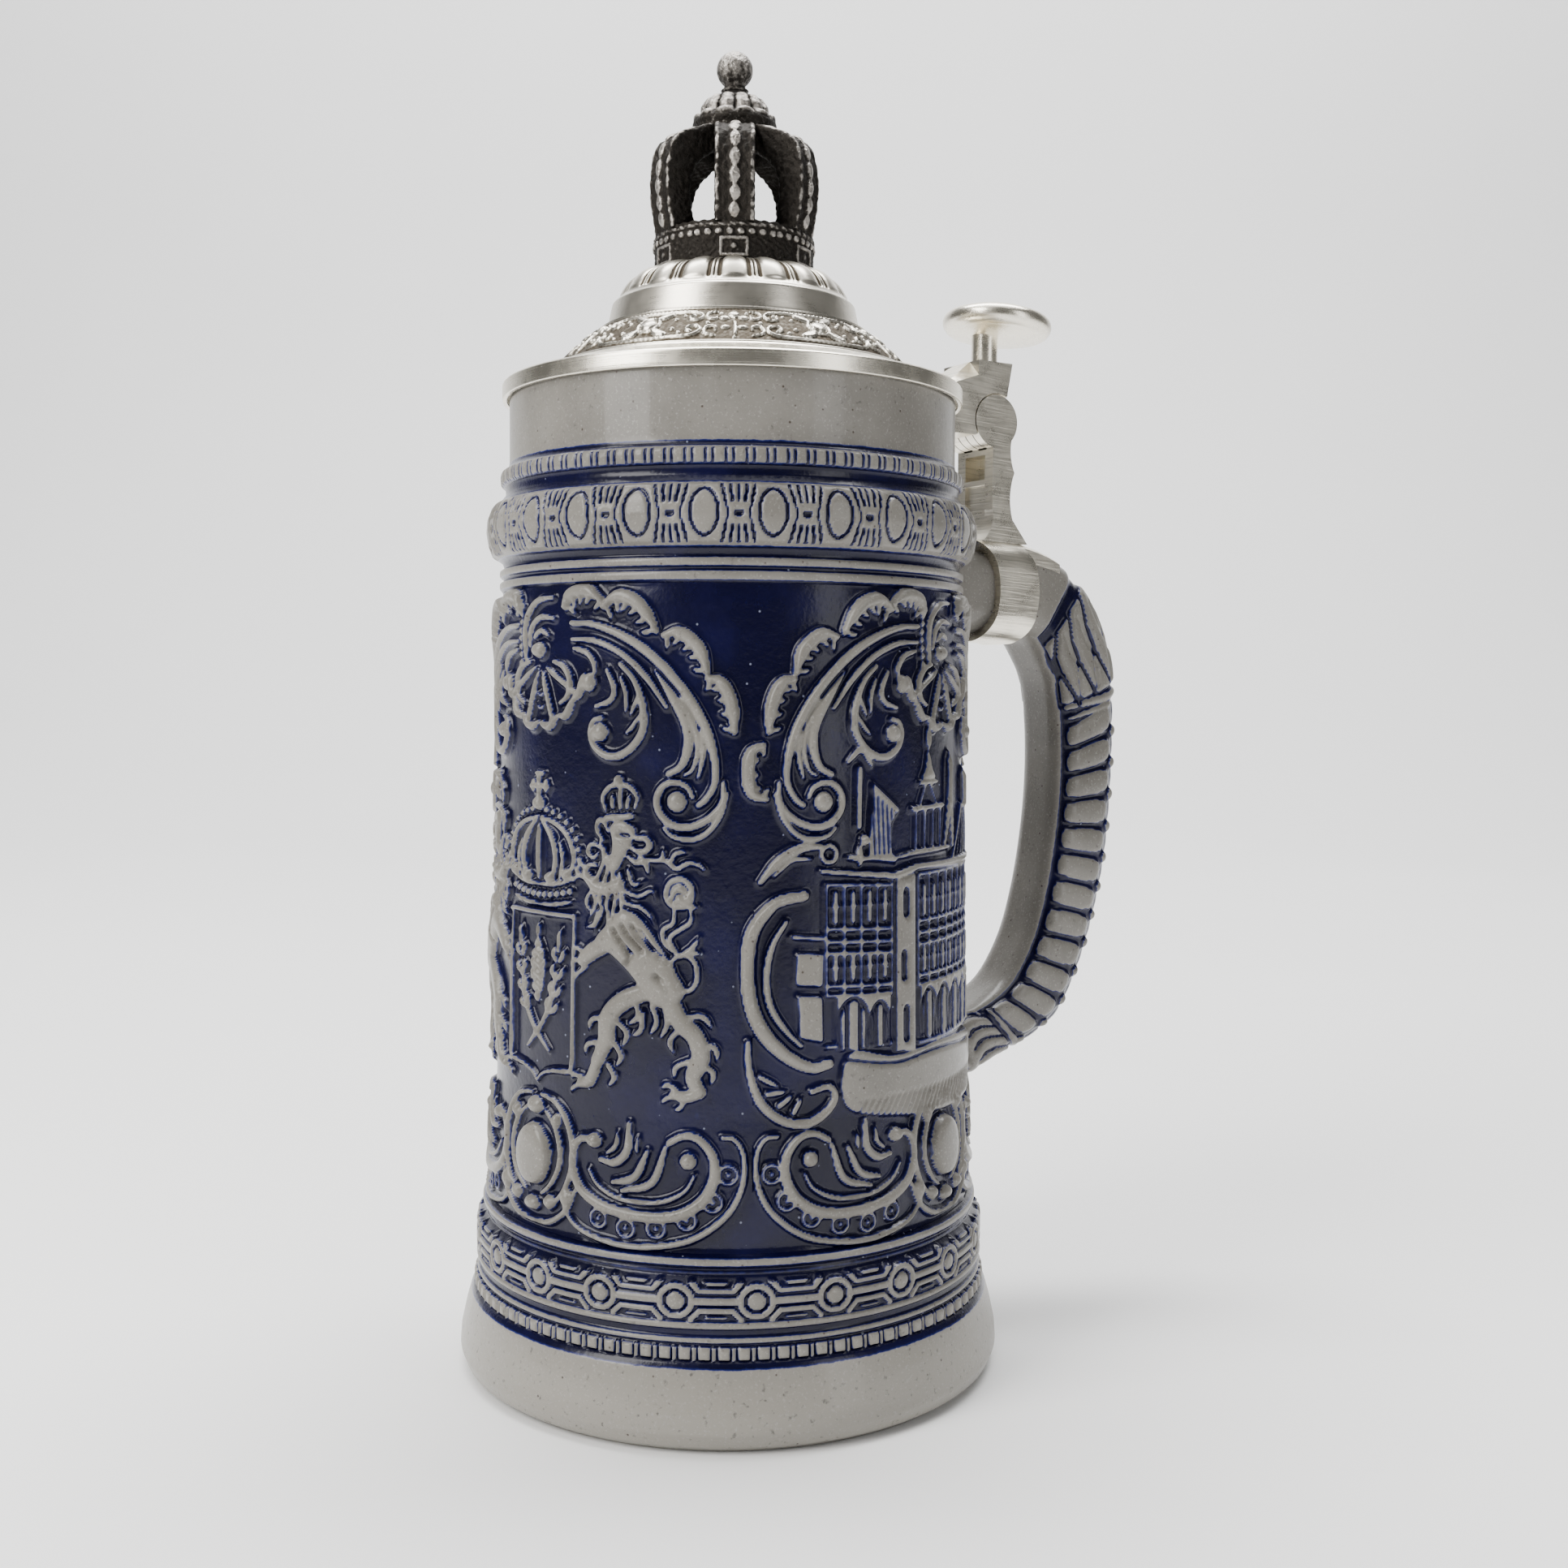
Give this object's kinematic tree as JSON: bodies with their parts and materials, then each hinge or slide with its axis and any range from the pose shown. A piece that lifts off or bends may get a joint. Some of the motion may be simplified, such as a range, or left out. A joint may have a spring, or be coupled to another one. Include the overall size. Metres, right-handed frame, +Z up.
{
  "type": "beer stein",
  "caption": "Stoneware drinking mug with a moulded relief wall, a side handle and a hinged pewter lid with thumb knob and crown finial.",
  "frame": {"origin": "centre of the mug's underside, on the mug's axis", "axes": "+Z up along the mug's axis, +X out through the handle and the hinge, Y along the hinge pin"},
  "size_m": [0.1615, 0.115, 0.2752],
  "materials": {
    "stoneware": "salt-glazed grey stoneware with cobalt blue ground",
    "pewter": "bright turned pewter",
    "dark_pewter": "dark antiqued cast pewter",
    "steel": "plain drawn pin"
  },
  "bodies": {
    "mug": {"mug_body": "stoneware", "mug_handle": "stoneware", "handle_strap": "pewter", "hinge_shank": "pewter", "hinge_pin": "steel", "pin_plug_near": "pewter", "pin_plug_far": "pewter"},
    "lid": {"lid_shell": "pewter", "lid_tang": "pewter", "thumb_knob": "pewter", "crown_circlet": "dark_pewter", "crown_arch_1": "dark_pewter", "crown_arch_2": "dark_pewter", "crown_arch_3": "dark_pewter", "crown_arch_4": "dark_pewter", "crown_arch_5": "dark_pewter", "crown_arch_6": "dark_pewter", "crown_cap": "dark_pewter", "crown_orb": "dark_pewter"}
  },
  "joints": [
    {"name": "lid_hinge", "type": "hinge", "parent": "mug", "child": "lid", "pos_m": [0.066, 0, 0.2037], "axis": [0, 1, 0], "range_deg": [0, 100]}
  ]
}
